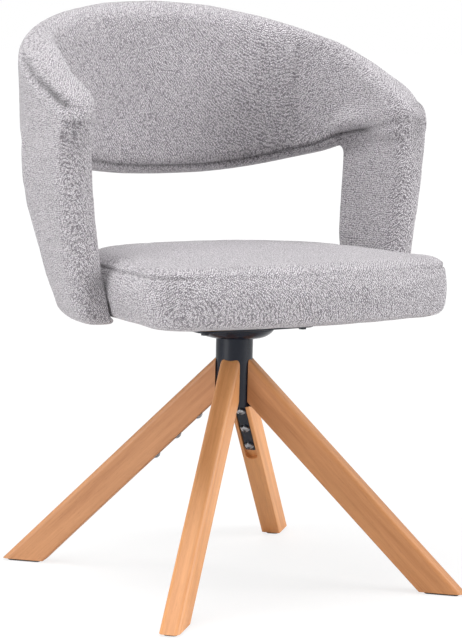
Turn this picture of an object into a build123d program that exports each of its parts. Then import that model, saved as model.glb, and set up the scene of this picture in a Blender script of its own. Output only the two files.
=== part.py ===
from build123d import *
from math import cos, radians, sin, sqrt, tan
import os

# Swivel dining chair: an upholstered seat and a rounded back with arms, turning on a steel column
# that stands on four splayed wooden legs.
# Millimetres, +Z up, the floor at Z = 0, the column's axis on Z, the front of the chair towards -Y.
# "left" and "right" are the sitter's own: left is +X.

os.makedirs("parts", exist_ok=True)

overrun = 5.0             # how far a cut runs on past the faces it opens

# ---------------------------------------------------- driving sizes: legs
leg_spread = 331.7        # from the column's axis to the toe of a leg, at the floor
leg_slope = 45.1          # angle of a leg to the floor, degrees
leg_width = 27.4
leg_depth = 43.0          # across the slope
leg_end_radius = 23.0     # from the axis to the upright cut at the top of a leg
leg_edge_radius = 7.0     # rounding of the two upper long edges
leg_under_radius = 2.0    # easing of the two lower long edges
glide_height = 3.0
glide_length = 48.0
glide_width = 19.0
glide_corner = 6.0
glide_chamfer = 0.8

# ---------------------------------------------------- driving sizes: steel spider and its screws
spider_thickness = 4.0
spider_arm_width = 14.0
spider_recess = 2.0       # how far the arm lies inside the face of the leg
spider_bend_radius = 4.0
spider_end_margin = 12.0  # from the last screw to the end of the arm
groove_clearance = 1.5    # each side of the arm
groove_end_gap = 20.0     # from the end of the arm to the far point of the groove's round end
screw_first = 35.0        # along the underside, from its top corner
screw_pitch = 42.0
screw_count = 3
screw_diameter = 6.0
screw_head_diameter = 11.5
screw_head_height = 4.0
screw_head_brim = 1.4     # upright edge under the domed top
screw_length = 17.0       # under the head
screw_socket = 4.0        # across the flats
screw_socket_depth = 2.4
screw_tip_room = 2.0      # left in the wood past the tip
washer_diameter = 13.0
washer_thickness = 1.2
insert_diameter = 9.6
insert_length = 13.0
small_clearance = 0.1     # radial, a screw in its thread or its hole

# ---------------------------------------------------- driving sizes: column and swivel
tube_diameter = 50.8
tube_wall = 2.0
tube_bottom = 246.5
tube_top = 343.2
cope_clearance = 0.3      # between a leg's hollowed end and the tube
bush_flange = 2.0
bush_length = 24.0
bush_clearance = 0.05     # radial, in the tube
lower_bush_rise = 10.0    # from the foot of the tube to the lower bush
spindle_diameter = 30.0
spindle_clearance = 0.08  # radial, in the bushes
spindle_rise = 2.5        # from the foot of the tube to the end of the spindle
spindle_collar_diameter = 44.0
spindle_chamfer = 1.0
ring_groove_depth = 1.2
ring_thickness = 1.5
ring_diameter = 40.0
ring_mouth = 9.0          # open width
ring_eye_diameter = 2.0   # holes for the pliers
ring_eye_inset = 2.8      # from the mouth to the middle of an eye
ring_gap = 0.3            # under the lower bush
thrust_thickness = 1.5
thrust_inset = 1.0        # inside the bush's flange
cup_diameter = 109.0
cup_floor_diameter = 74.0
cup_depth = 16.0
cup_lip = 4.8             # upright rim at the plate
cup_flare = 0.12          # rise of the dish where it leaves its flat floor
cup_sheet = 1.8
cup_gap = 1.2             # radial, round the tube
plate_bottom = 354.2
plate_thickness = 3.0
plate_width = 184.0
plate_depth = 134.0
plate_corner = 16.0
plate_edge_radius = 1.0
plate_bolt_x = 78.0
plate_bolt_y = 50.0
plate_bolt_diameter = 6.0
plate_bolt_head = 10.0    # across the flats
plate_bolt_head_height = 4.0
bolt_end_rise = 1.0       # past the seat board
plate_hole_clearance = 0.4

# ---------------------------------------------------- driving sizes: seat
seat_base = 375.2         # underside of the seat at the column's axis
seat_tilt = 1.5           # the front is higher, degrees
seat_front = 230.8        # to the middle of the bowed front edge
seat_corner_x = 231.9     # sharp corner before rounding
seat_corner_y = 191.6
seat_corner_radius = 52.0
seat_back_x = 194.2
seat_back = 170.2
seat_back_radius = 150.0
seat_thickness = 79.5
seat_crown = 9.5
seat_under_radius = 17.0
seat_top_radius = 23.0
dust_cover_thickness = 0.8
dust_cover_inset = 20.0
dust_cover_hole_gap = 2.0 # round a nut
board_thickness = 12.0
board_inset = 24.0
wedge_inset = 6.0         # inside the plate's edge
nut_flange_diameter = 19.0
nut_flange_thickness = 1.5
nut_barrel_diameter = 9.0
nut_barrel_length = 9.0
nut_bore_gap = 0.75       # round the bolt, which is upright in the tilted nut
nut_pocket_height = 4.0   # room in the foam over a nut and the end of its bolt
soft_clearance = 0.3      # between foam and what it lies against
pocket_clearance = 1.0    # in the foam, round clamps and nuts

# ---------------------------------------------------- driving sizes: frame inside the arms and back
frame_tube = 14.0
frame_wall = 1.5
frame_y = -8.0            # the plane of the frame's uprights
frame_top = 652.0
frame_end = 100.0         # half the gap between the two lower ends on the seat board
frame_foot_x = 237.0      # where an upright would meet the lower run
frame_bend = 24.0
frame_sweep = 182.0       # the large bends behind the arms
clamp_width = 18.0
clamp_sheet = 2.0
clamp_foot = 13.0
clamp_places = (122.0, 172.0)
clamp_screw_diameter = 4.0
clamp_screw_head = 8.0
clamp_screw_head_height = 2.4
clamp_screw_length = 10.0
clamp_screw_tip_room = 0.5

# ---------------------------------------------------- driving sizes: arms and back
# Seen from above, the back is a superellipse whose sides run straight on to the front of the arms.
plan_half_width = 266.3
plan_depth = 198.5        # from the widest point to the back, at plan_height
plan_height = 652.0
plan_start = 15.6         # Y of the widest point
plan_power = 2.47
back_lean = 0.105         # inwards for each mm down, at the back
pad_front = -48.8         # Y of the front end of the roll
back_thickness = 45.0
roll_thickness = 47.5     # at the front ends
roll_radius = 20.0
nose_radius = 20.0
nose_steps = (0, 0.4, 0.7, 0.9, 1)    # shares of the nose at which its sections are drawn
least_flat = 1.0          # half the flat left between two rounded corners of a narrow section
# angle round the superellipse and height of the rim there; the last angle is where the straight runs begin
back_stations = (
    (0, 787.0),
    (14, 783.0),
    (30, 772.2),
    (46, 757.3),
    (64, 736.8),
    (77, 718.0),
    (90, 690.1),
)
back_low = 548.5          # height of the lower edge at the middle of the back
side_low = 593.5          # and at the sides
roll_end_height = 659.5   # height of the rim where the roll ends, before its end is rounded
crease_height = 624.0     # the arms meet the back in a sloping plane: its height over the axis
crease_slope = 0.216      # and its rise towards the front
crease_rear = 114.0       # Y at which the arms leave the back
shell_thickness = 15.0    # outer panel of the back
shell_drop = 16.0         # from the rim to the top of the outer panel
shell_edge_radius = 3.0
shell_overrun = 30.0      # of the panel's form below and outside the roll
arm_thickness = 47.5
arm_front = -43.6
arm_corner = 20.0
arm_bottom_radius = 14.0
# height, share of the way in from the back's width to the arm's foot, Y of the rear edge, outward turn of
# the front in degrees
arm_stations = (
    (383, 0.776, 64.0, 4.0),
    (426, 0.545, 80.0, 4.0),
    (467, 0.405, 94.0, 3.7),
    (508, 0.255, 102.0, 3.3),
    (550, 0.135, 107.0, 2.8),
    (591, 0.055, 110.0, 2.3),
    (632, 0.012, 112.0, 1.8),
    (673, 0.0, 113.0, 1.3),
)
arm_foot_x = 224.8        # middle of the arm at its foot
arm_foot_rear = 58.2
foot_steps = (0, 0.12, 0.4, 1)        # shares of the foot's rounding at which its sections are drawn


# ---------------------------------------------------- values that follow
slope = radians(leg_slope)
leg_rise = leg_depth / cos(slope)                       # upright height of the leg's section
leg_top = (leg_spread - leg_end_radius) * tan(slope)    # upper corner of the leg's top end
under_corner = leg_top - leg_rise                       # lower corner of the leg's top end
groove_depth = spider_recess + spider_thickness
spider_arm_end = screw_first + (screw_count - 1) * screw_pitch + spider_end_margin
groove_end = spider_arm_end + groove_end_gap
groove_width = spider_arm_width + 2 * groove_clearance
tube_radius = tube_diameter / 2
bore_radius = tube_radius - tube_wall
spindle_radius = spindle_diameter / 2
bush_bore = spindle_radius + spindle_clearance
thrust_bottom = tube_top + bush_flange
thrust_top = thrust_bottom + thrust_thickness
lower_bush_foot = tube_bottom + lower_bush_rise
spindle_end = tube_bottom + spindle_rise
plate_top = plate_bottom + plate_thickness
board_top = dust_cover_thickness + board_thickness      # from the seat's underside
tilt = radians(seat_tilt)
roll_run = plan_start - pad_front                       # straight run of the roll
nose_start = roll_run - nose_radius
clamp_y = frame_y - frame_tube / 2 * sin(tilt)          # where the tube's foot touches the board
frame_back = plan_start + plan_depth
leg_angles = {"front_left": -45, "front_right": -135, "rear_right": 135, "rear_left": 45}


def save(shape, name):
    export_step(shape, f"parts/{name}.step")


def around(shape):
    """The same piece on each of the four legs."""
    return [Rot(0, 0, angle) * shape for angle in leg_angles.values()]


def cylinder(radius, bottom, top):
    return Pos(0, 0, bottom) * extrude(Circle(radius), top - bottom)


def ring(outer, inner, bottom, top):
    return Pos(0, 0, bottom) * extrude(Circle(outer) - Circle(inner), top - bottom)


# ================================================================ legs
def under_leg(along, depth):
    """Point (radius, height) along the underside of a leg and that deep into the wood."""
    radius = leg_end_radius + along * cos(slope) + depth * sin(slope)
    height = under_corner - along * sin(slope) + depth * cos(slope)
    return radius, height


def leg_plane(along, depth):
    """Plane across the underside of a leg: its z axis points into the wood, its x axis down the leg."""
    radius, height = under_leg(along, depth)
    down_leg = (cos(slope), 0, -sin(slope))
    return Plane(origin=(radius, 0, height), x_dir=down_leg, z_dir=(sin(slope), 0, cos(slope)))


def screw_places():
    return [leg_plane(screw_first + i * screw_pitch, spider_recess) for i in range(screw_count)]


def long_edges(body, deep):
    """The two edges along the leg on its upper face, or, with deep False, on its underside."""
    underside = leg_plane(0, 0)
    edges = body.edges().filter_by(lambda e: e.length > leg_spread)
    return [e for e in edges if (underside.to_local_coords(e @ 0.5).Z > leg_depth / 2) == deep]


def leg():
    toe = leg_spread - glide_height / tan(slope)
    heel = toe - leg_rise / tan(slope)
    side = Polyline(
        (leg_end_radius, leg_top),
        (toe, glide_height),
        (heel, glide_height),
        (leg_end_radius, under_corner),
        close=True,
    )
    body = extrude(Plane.XZ * make_face(side), leg_width / 2, both=True)
    body = fillet(long_edges(body, True), leg_edge_radius)
    body = fillet(long_edges(body, False), leg_under_radius)
    body -= cylinder(tube_radius + cope_clearance, under_corner - overrun, leg_top + overrun)
    body -= groove()
    for place in screw_places():
        hole = extrude(Circle(insert_diameter / 2), groove_depth - spider_recess + insert_length)
        tip = extrude(Circle(screw_diameter / 2 + small_clearance), screw_length + screw_tip_room)
        body -= place * (hole + tip)
    return body


def groove():
    """Slot for the spider's arm, open at the top end of the leg and round at its lower end."""
    straight = groove_end - groove_width / 2
    start = -2 * groove_width
    outline = Pos((start + straight) / 2, 0) * Rectangle(straight - start, groove_width)
    outline += Pos(straight, 0) * Circle(groove_width / 2)
    return leg_plane(0, -overrun) * extrude(outline, groove_depth + overrun)


def glide():
    toe = leg_spread - glide_height / tan(slope)
    middle = toe - leg_rise / tan(slope) / 2
    pad = Pos(middle, 0) * RectangleRounded(glide_length, glide_width, glide_corner)
    body = extrude(pad, glide_height)
    return chamfer(body.faces().sort_by(Axis.Z)[0].edges(), glide_chamfer)


# ================================================================ steel spider and screws
def spider():
    """Cross of flat steel under the tube, each arm bent down into the groove of its leg."""
    top_r, top_z = under_leg(0, groove_depth)
    bend_r = top_r + (top_z - tube_bottom) / tan(slope)
    low_r, low_z = under_leg(0, spider_recess)
    bend_low_r = low_r + (low_z - tube_bottom + spider_thickness) / tan(slope)
    outline = Polyline(
        (0, tube_bottom),
        (bend_r, tube_bottom),
        under_leg(spider_arm_end, groove_depth),
        under_leg(spider_arm_end, spider_recess),
        (bend_low_r, tube_bottom - spider_thickness),
        (0, tube_bottom - spider_thickness),
        close=True,
    )
    arm = extrude(Plane.XZ * make_face(outline), spider_arm_width / 2, both=True)
    bends = arm.edges().filter_by(Axis.Y).sort_by(Axis.X)[2:4]
    arm = fillet(bends, spider_bend_radius)
    for place in screw_places():
        arm -= place * cylinder(screw_diameter / 2 + small_clearance, -overrun, spider_thickness + overrun)
    body = cylinder(tube_radius, tube_bottom - spider_thickness, tube_bottom)
    for piece in around(arm):
        body += piece
    return body


def hexagon(flats, depth):
    return extrude(RegularPolygon(flats / 2, 6, major_radius=False), depth)


def leg_screws():
    """Button-head screws with a hexagon socket, head down, through the spider into the leg."""
    rim = screw_head_diameter / 2
    top = (0, screw_head_height)
    outline = Polyline(top, (0, 0), (rim, 0), (rim, screw_head_brim))
    half = make_face(outline + TangentArc(top, (rim, screw_head_brim), tangent=(1, 0)))
    head = revolve(Plane.XZ * half, Axis.Z)
    head -= Pos(0, 0, screw_head_height - screw_socket_depth) * hexagon(screw_socket, screw_head_height)
    shank = Pos(0, 0, -screw_length) * extrude(Circle(screw_diameter / 2), screw_length)
    screw = Rot(180, 0, 0) * (head + shank)
    screw = Pos(0, 0, -washer_thickness) * screw
    return [piece for place in screw_places() for piece in around(place * screw)]


def leg_washers():
    washer = ring(washer_diameter / 2, screw_diameter / 2 + small_clearance, -washer_thickness, 0)
    return [piece for place in screw_places() for piece in around(place * washer)]


def leg_inserts():
    """Threaded bushes let into the wood at the floor of the groove."""
    radius = insert_diameter / 2 - small_clearance / 2
    bore = screw_diameter / 2 + small_clearance
    insert = ring(radius, bore, spider_thickness, spider_thickness + insert_length)
    return [piece for place in screw_places() for piece in around(place * insert)]


# ================================================================ column and swivel
def column_tube():
    return ring(tube_radius, bore_radius, tube_bottom, tube_top)


def bush(foot, flanged):
    top = tube_top if flanged else foot + bush_length
    body = ring(bore_radius - bush_clearance, bush_bore, top - bush_length, top)
    if flanged:
        body += ring(tube_radius, bush_bore, tube_top, tube_top + bush_flange)
    return body


def thrust_washer():
    return ring(tube_radius - thrust_inset, bush_bore, thrust_bottom, thrust_top)


def spindle():
    """Steel pin with a collar that rests on the thrust washer, and a groove for the retaining ring."""
    groove_top = lower_bush_foot - ring_gap
    pin = cylinder(spindle_radius, spindle_end, thrust_top)
    pin = chamfer(pin.faces().sort_by(Axis.Z)[0].edges(), spindle_chamfer)
    pin += cylinder(spindle_collar_diameter / 2, thrust_top, plate_bottom)
    groove_foot = groove_top - ring_thickness
    pin -= ring(spindle_radius + overrun, spindle_radius - ring_groove_depth, groove_foot, groove_top)
    return pin


def retaining_ring():
    """Open spring ring with an eye at each end, snapped into the spindle's groove."""
    top = lower_bush_foot - ring_gap
    inner = spindle_radius - ring_groove_depth
    outer = ring_diameter / 2
    body = ring(outer, inner, top - ring_thickness, top)
    body -= Pos(0, -outer, top) * Box(ring_mouth, ring_diameter, overrun)
    for side in (-1, 1):
        eye = cylinder(ring_eye_diameter / 2, top - overrun, top + overrun)
        body -= Pos(side * (ring_mouth / 2 + ring_eye_inset), -(inner + outer) / 2, 0) * eye
    return body


def cup_half(inset):
    """Half section of the dish, filled in up to the plate, with its wall drawn inwards by inset."""
    hole = tube_radius + cup_gap
    floor = cup_floor_diameter / 2
    rim = cup_diameter / 2 - inset
    bottom = plate_bottom - cup_depth + inset
    lip = plate_bottom - cup_lip
    outline = Polyline((rim, lip), (rim, plate_bottom), (hole, plate_bottom), (hole, bottom), (floor, bottom))
    return make_face(outline + TangentArc((floor, bottom), (rim, lip), tangent=(1, cup_flare)))


def bearing_cup():
    """Pressed dish under the plate that hides the bearing and turns with the seat."""
    return revolve(Plane.XZ * (cup_half(0) - cup_half(cup_sheet)), Axis.Z)


def bolt_points():
    return [(x, y) for x in (-plate_bolt_x, plate_bolt_x) for y in (-plate_bolt_y, plate_bolt_y)]


def drilled(body, bottom, top):
    """The piece with the holes of the plate's bolts through it, between two heights."""
    for x, y in bolt_points():
        hole = cylinder(plate_bolt_diameter / 2 + plate_hole_clearance, bottom - overrun, top + overrun)
        body -= Pos(x, y, 0) * hole
    return body


def swivel_plate():
    """Steel plate with eased lower edges and a bolt hole near each corner."""
    outline = RectangleRounded(plate_width, plate_depth, plate_corner)
    body = Pos(0, 0, plate_bottom) * extrude(outline, plate_thickness)
    body = fillet(body.faces().sort_by(Axis.Z)[0].edges(), plate_edge_radius)
    return drilled(body, plate_bottom, plate_top)


# ================================================================ seat
def on_seat(shape):
    """Lay a piece that is drawn level, with the seat's underside at Z = 0, on the tilted seat."""
    return Pos(0, 0, seat_base) * Rot(-seat_tilt, 0, 0) * shape


def seat_point(x, y, z):
    """World place of a point that lies over world Y = y, that far above the seat's underside."""
    return x, y, seat_base - y * tan(tilt) + z / cos(tilt)


def seat_outline(inset):
    """Plan of the seat, drawn in by inset: bowed front, tapered sides and a round back."""
    front_x = seat_corner_x - inset
    front_y = -seat_corner_y + inset
    back_x = seat_back_x - inset
    back_y = seat_back - inset
    lines = ThreePointArc((-front_x, front_y), (0, -seat_front + inset), (front_x, front_y))
    lines += Polyline((front_x, front_y), (back_x, back_y), (-back_x, back_y), (-front_x, front_y))
    face = make_face(lines)
    front = face.vertices().filter_by(lambda v: v.Y < 0)
    rear = face.vertices().filter_by(lambda v: v.Y > 0)
    face = fillet(front, seat_corner_radius - inset)
    rear = face.vertices().sort_by(Axis.Y)[-2:]
    return fillet(rear, seat_back_radius - inset)


def cushion_form():
    """Upright block under a shallow dome, with a wide soft edge all round above and below."""
    body = extrude(seat_outline(0), seat_thickness + seat_crown)
    reach = seat_front
    dome_radius = (reach**2 + seat_crown**2) / (2 * seat_crown)
    body &= Pos(0, 0, seat_thickness + seat_crown - dome_radius) * Sphere(dome_radius)
    crown = body.faces().sort_by(Axis.Z)[-1]
    body = fillet(crown.edges(), seat_top_radius)
    return fillet(body.faces().sort_by(Axis.Z)[0].edges(), seat_under_radius)


def seat_room():
    """What the cushion takes up between the arms, with a hair of room round it."""
    block = extrude(seat_outline(-soft_clearance), seat_thickness + soft_clearance)
    return on_seat(Pos(0, 0, -soft_clearance) * block)


def seat_board():
    board = Pos(0, 0, dust_cover_thickness) * extrude(seat_outline(board_inset), board_thickness)
    board = on_seat(board)
    hole = cylinder(nut_barrel_diameter / 2 + small_clearance, -overrun, board_top + overrun)
    for x, y in bolt_points():
        board -= on_nut_place(x, y, hole)
    return board - clamp_screw_holes()


def dust_cover():
    cover = on_seat(extrude(seat_outline(dust_cover_inset), dust_cover_thickness))
    hole = cylinder(nut_barrel_diameter / 2 + dust_cover_hole_gap, -overrun, overrun)
    for x, y in bolt_points():
        cover -= Pos(x, y, seat_base) * hole
    return cover


def on_nut_place(x, y, shape):
    """Put a piece drawn on Z, with the board's upper face at Z = 0 flipped down, at a bolt."""
    return Pos(*seat_point(x, y, board_top)) * Rot(-seat_tilt, 0, 0) * Rot(180, 0, 0) * shape


def tee_nuts():
    bore = plate_bolt_diameter / 2 + nut_bore_gap
    nut = ring(nut_barrel_diameter / 2, bore, -nut_flange_thickness, nut_barrel_length)
    nut += ring(nut_flange_diameter / 2, bore, -nut_flange_thickness, 0)
    return [on_nut_place(x, y, nut) for x, y in bolt_points()]


def bolt_tip(y):
    return seat_point(0, y, board_top)[2] + bolt_end_rise


def plate_bolts():
    head = Pos(0, 0, plate_bottom - plate_bolt_head_height) * hexagon(plate_bolt_head, plate_bolt_head_height)
    bolts = []
    for x, y in bolt_points():
        bolt = head + cylinder(plate_bolt_diameter / 2, plate_bottom, bolt_tip(y))
        bolts.append(Pos(x, y, 0) * bolt)
    return bolts


def tilt_wedge():
    """Tapered block between the level plate and the tilted seat."""
    half = plate_depth / 2 - wedge_inset
    rise = half * tan(tilt)
    side = Polyline(
        (-half, plate_top), (half, plate_top), (half, seat_base - rise), (-half, seat_base + rise), close=True
    )
    body = extrude(Plane.YZ * make_face(side), plate_width / 2 - wedge_inset, both=True)
    body = fillet(body.edges().filter_by(Axis.Z), plate_corner - wedge_inset)
    return drilled(body, plate_top, seat_base)


# ================================================================ frame inside the arms and back
def frame_level():
    """Height of the frame's lower runs, which lie on the seat board."""
    return seat_point(0, clamp_y, board_top)[2] + frame_tube / 2 * cos(tilt)


def frame_path():
    low = frame_level()
    points = (
        (-frame_end, frame_y, low),
        (-frame_foot_x, frame_y, low),
        (-plan_half_width, frame_y, frame_top),
        (-plan_half_width, frame_back, frame_top),
        (plan_half_width, frame_back, frame_top),
        (plan_half_width, frame_y, frame_top),
        (frame_foot_x, frame_y, low),
        (frame_end, frame_y, low),
    )
    radii = (frame_bend, frame_bend, frame_sweep, frame_sweep, frame_bend, frame_bend)
    return FilletPolyline(*points, radius=radii)


def tube_along(path, radius):
    start = Plane(origin=path @ 0, z_dir=path % 0)
    return sweep(start * Circle(radius), path=path)


def back_frame():
    path = frame_path()
    return tube_along(path, frame_tube / 2) - tube_along(path, frame_tube / 2 - frame_wall)


def clamp_spots():
    return [side * x for side in (-1, 1) for x in clamp_places]


def saddle_outline(grow):
    """Strap bent over the frame's tube, in the Y-Z plane with the board's face at Z = 0."""
    outer = frame_tube / 2 + clamp_sheet + grow
    centre = frame_tube / 2
    shape = Pos(0, centre) * Circle(outer)
    shape += Pos(0, centre / 2) * Rectangle(2 * outer, centre)
    half_length = outer + clamp_foot
    shape += Pos(0, (clamp_sheet + grow) / 2) * Rectangle(2 * half_length, clamp_sheet + grow)
    height = centre + outer
    return shape & Pos(0, height / 2) * Rectangle(2 * half_length, height)


def tube_hole(gap, below):
    """Room for the frame's tube, with that gap round it, open down to below the board's face."""
    centre = frame_tube / 2
    slot = Pos(0, (centre - below) / 2) * Rectangle(2 * (centre + gap), centre + below)
    return Pos(0, centre) * Circle(centre + gap) + slot


def clamp_place(x):
    return Pos(*seat_point(x, clamp_y, board_top)) * Rot(-seat_tilt, 0, 0)


def frame_clamps():
    outline = saddle_outline(0) - tube_hole(small_clearance / 2, overrun)
    strap = extrude(Plane.YZ * outline, clamp_width / 2, both=True)
    for spot in clamp_screw_spots():
        strap -= Pos(0, spot, 0) * cylinder(clamp_screw_diameter / 2 + small_clearance, -overrun, overrun)
    return [clamp_place(x) * strap for x in clamp_spots()]


def clamp_screw_spots():
    reach = frame_tube / 2 + clamp_sheet + clamp_foot / 2
    return (-reach, reach)


def clamp_screws():
    head = cylinder(clamp_screw_head / 2, clamp_sheet, clamp_sheet + clamp_screw_head_height)
    head = fillet(head.faces().sort_by(Axis.Z)[-1].edges(), clamp_screw_head_height / 2)
    screw = head + cylinder(clamp_screw_diameter / 2, clamp_sheet - clamp_screw_length, clamp_sheet)
    return [clamp_place(x) * Pos(0, y, 0) * screw for x in clamp_spots() for y in clamp_screw_spots()]


def clamp_screw_holes():
    foot = clamp_sheet - clamp_screw_length - clamp_screw_tip_room
    hole = cylinder((clamp_screw_diameter + small_clearance) / 2, foot, overrun)
    holes = [clamp_place(x) * Pos(0, y, 0) * hole for x in clamp_spots() for y in clamp_screw_spots()]
    return Compound(holes)


# ================================================================ upholstery
def seat_cushion():
    """Crowned foam in its cover, hollowed for the board, the frame's ends, the clamps and the nuts."""
    body = on_seat(cushion_form())
    hollow = extrude(seat_outline(board_inset - soft_clearance), board_top + soft_clearance)
    hollow += extrude(seat_outline(dust_cover_inset - soft_clearance), dust_cover_thickness)
    body -= on_seat(hollow)
    strap = saddle_outline(clamp_screw_head_height + pocket_clearance)
    strap = extrude(Plane.YZ * strap, clamp_width / 2 + pocket_clearance, both=True)
    for x in clamp_spots():
        body -= clamp_place(x) * strap
    start = frame_end - pocket_clearance
    channel = extrude(Plane.YZ * tube_hole(soft_clearance, 0), seat_corner_x + overrun - start)
    for side in (0, 180):
        body -= clamp_place(0) * Rot(0, 0, side) * Pos(start, 0, 0) * channel
    for x, y in bolt_points():
        pocket = cylinder(nut_flange_diameter / 2 + pocket_clearance, -nut_pocket_height, 0)
        body -= on_nut_place(x, y, pocket)
    return body


def plan_point(angle, height):
    """Point and outward normal of the back's middle surface, angle degrees round the superellipse."""
    depth = plan_depth - (plan_height - height) * back_lean
    s, c = max(sin(radians(angle)), 1e-9), max(cos(radians(angle)), 1e-9)
    power = 2 / plan_power
    x = plan_half_width * s**power
    y = plan_start + depth * c**power
    nx = s ** (2 - power) / plan_half_width
    ny = c ** (2 - power) / depth
    length = sqrt(nx**2 + ny**2)
    return x, y, nx / length, ny / length


def slab_section(side, station, low, high, inner, outer, radius, inset=0):
    """Rounded slab across the roll: between two heights and two offsets from the middle surface."""
    angle, run = station
    x, y, nx, ny = plan_point(angle, plan_height)
    foot = (side * x, y - run, plan_height)
    plane = Plane(origin=foot, x_dir=(side * nx, ny, 0), z_dir=(ny, -side * nx, 0))
    lean = back_lean * ny
    bottom, top = low + inset - plan_height, high - inset - plan_height
    left, right = inner + inset, outer - inset
    outline = Polyline(
        (left + lean * bottom, bottom),
        (right + lean * bottom, bottom),
        (right + lean * top, top),
        (left + lean * top, top),
        close=True,
    )
    face = make_face(outline)
    return plane * fillet(face.vertices(), min(radius, (right - left) / 2 - least_flat))


def lower_edge(angle):
    return back_low + (side_low - back_low) * sin(radians(angle)) ** 2


def rim_ahead(run):
    """Height of the rim on the straight run, that far in front of the widest point."""
    side_rim = back_stations[-1][1]
    return side_rim + (roll_end_height - side_rim) * run / roll_run


def roll_stations():
    """Places along the roll, right end to left: side, (angle, run), rim, lower edge, share of the turn."""
    half = [((angle, 0), rim, lower_edge(angle), angle / 90) for angle, rim in back_stations]
    half.append(((90, nose_start), rim_ahead(nose_start), side_low, 1))
    return [(-1, *place) for place in reversed(half[1:])] + [(1, *place) for place in half]


def nose_stations():
    """The same for the rounded front end of the left roll, with how far each section is drawn in."""
    out = []
    for share in nose_steps:
        run = nose_start + nose_radius * share
        inset = nose_radius - sqrt(nose_radius**2 - (nose_radius * share) ** 2)
        out.append((1, (90, run), rim_ahead(run), side_low, 1, inset))
    return out


def thickness(share):
    return back_thickness + (roll_thickness - back_thickness) * share


def roll_form():
    """The whole back with its rolled rim, carried round the plan as a loft of slabs, with rounded ends."""
    sections = []
    for side, station, rim, low, share in roll_stations():
        half = thickness(share) / 2
        sections.append(slab_section(side, station, low, rim, -half, half, roll_radius))
    half = roll_thickness / 2
    nose = loft(
        [slab_section(side, station, low, rim, -half, half, roll_radius, inset)
         for side, station, rim, low, share, inset in nose_stations()],
        ruled=True,
    )
    return loft(sections) + nose + mirror(nose, Plane.YZ)


def shell_form(grow):
    """Outer layer of the back, from under its lower edge to just under the rim; grow makes room for it."""
    sections = []
    places = roll_stations()
    ends = [(side, (90, roll_run + overrun), rim_ahead(roll_run), side_low, 1) for side in (-1, 1)]
    for side, station, rim, low, share in [ends[0], *places, ends[1]]:
        half = thickness(share) / 2
        inner = half - shell_thickness - grow
        top = rim - shell_drop + grow
        outer = half + shell_overrun
        bottom = low - shell_overrun
        sections.append(slab_section(side, station, bottom, top, inner, outer, shell_edge_radius))
    return loft(sections)


def crease_point(y):
    return y, crease_height - crease_slope * y


def below_crease():
    """Room of the arms: under the sloping plane in which they meet the back, and in front of crease_rear."""
    near = pad_front - arm_thickness
    corners = Polyline(crease_point(near), crease_point(crease_rear), (crease_rear, 0), (near, 0), close=True)
    return extrude(Plane.YZ * make_face(corners), plan_half_width + arm_thickness, both=True)


def arm_section(height, share, rear, turn, inset):
    """Level section of the left arm, that share of the way in from the back's width to the foot."""
    middle = plan_half_width + (arm_foot_x - plan_half_width) * share
    length = rear - arm_front
    wide = arm_thickness - 2 * inset
    outline = RectangleRounded(wide, length - 2 * inset, min(arm_corner, wide / 2 - least_flat))
    return Pos(middle, (rear + arm_front) / 2, height) * Rot(0, 0, turn) * outline


def arm_form():
    """Left arm: upright pad, drawn in towards the seat at its foot."""
    height, first, rear, turn = arm_stations[0]
    foot = []
    for step in foot_steps:
        inset = arm_bottom_radius - sqrt(arm_bottom_radius**2 - (arm_bottom_radius * (1 - step)) ** 2)
        share = 1 + (first - 1) * step
        edge = arm_foot_rear + (rear - arm_foot_rear) * step
        foot.append(arm_section(height - arm_bottom_radius * (1 - step), share, edge, turn, inset))
    return loft(foot, ruled=True) + loft([arm_section(*station, 0) for station in arm_stations])


def main():
    base_leg = leg()
    for name, angle in leg_angles.items():
        save(Rot(0, 0, angle) * base_leg, f"{name}_leg")
        save(Rot(0, 0, angle) * glide(), f"{name}_glide")
    save(spider(), "leg_spider")
    save(Compound(leg_screws()), "leg_screws")
    save(Compound(leg_washers()), "leg_screw_washers")
    save(Compound(leg_inserts()), "leg_threaded_inserts")
    save(column_tube(), "column_tube")
    save(bush(tube_top - bush_length, True), "upper_bush")
    save(bush(lower_bush_foot, False), "lower_bush")
    save(thrust_washer(), "thrust_washer")
    save(spindle(), "spindle")
    save(retaining_ring(), "retaining_ring")
    save(bearing_cup(), "bearing_cup")
    save(swivel_plate(), "swivel_plate")
    save(Compound(plate_bolts()), "plate_bolts")
    save(Compound(tee_nuts()), "tee_nuts")
    save(tilt_wedge(), "tilt_wedge")
    save(seat_board(), "seat_board")
    save(dust_cover(), "dust_cover")
    save(seat_cushion(), "seat_cushion")
    save(back_frame(), "back_frame")
    save(Compound(frame_clamps()), "frame_clamps")
    save(Compound(clamp_screws()), "clamp_screws")

    channel = tube_along(frame_path(), frame_tube / 2 + soft_clearance)
    under = below_crease()
    roll = roll_form() - under
    save(roll - shell_form(soft_clearance) - channel, "back_pad")
    save((roll & shell_form(0)) - channel, "back_outer_panel")
    left = (arm_form() & under) - channel - seat_room()
    save(left, "left_arm_pad")
    save(mirror(left, Plane.YZ), "right_arm_pad")


main()
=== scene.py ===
import bpy
import bmesh
import math
import numpy as np
from mathutils import Matrix, Vector


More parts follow.
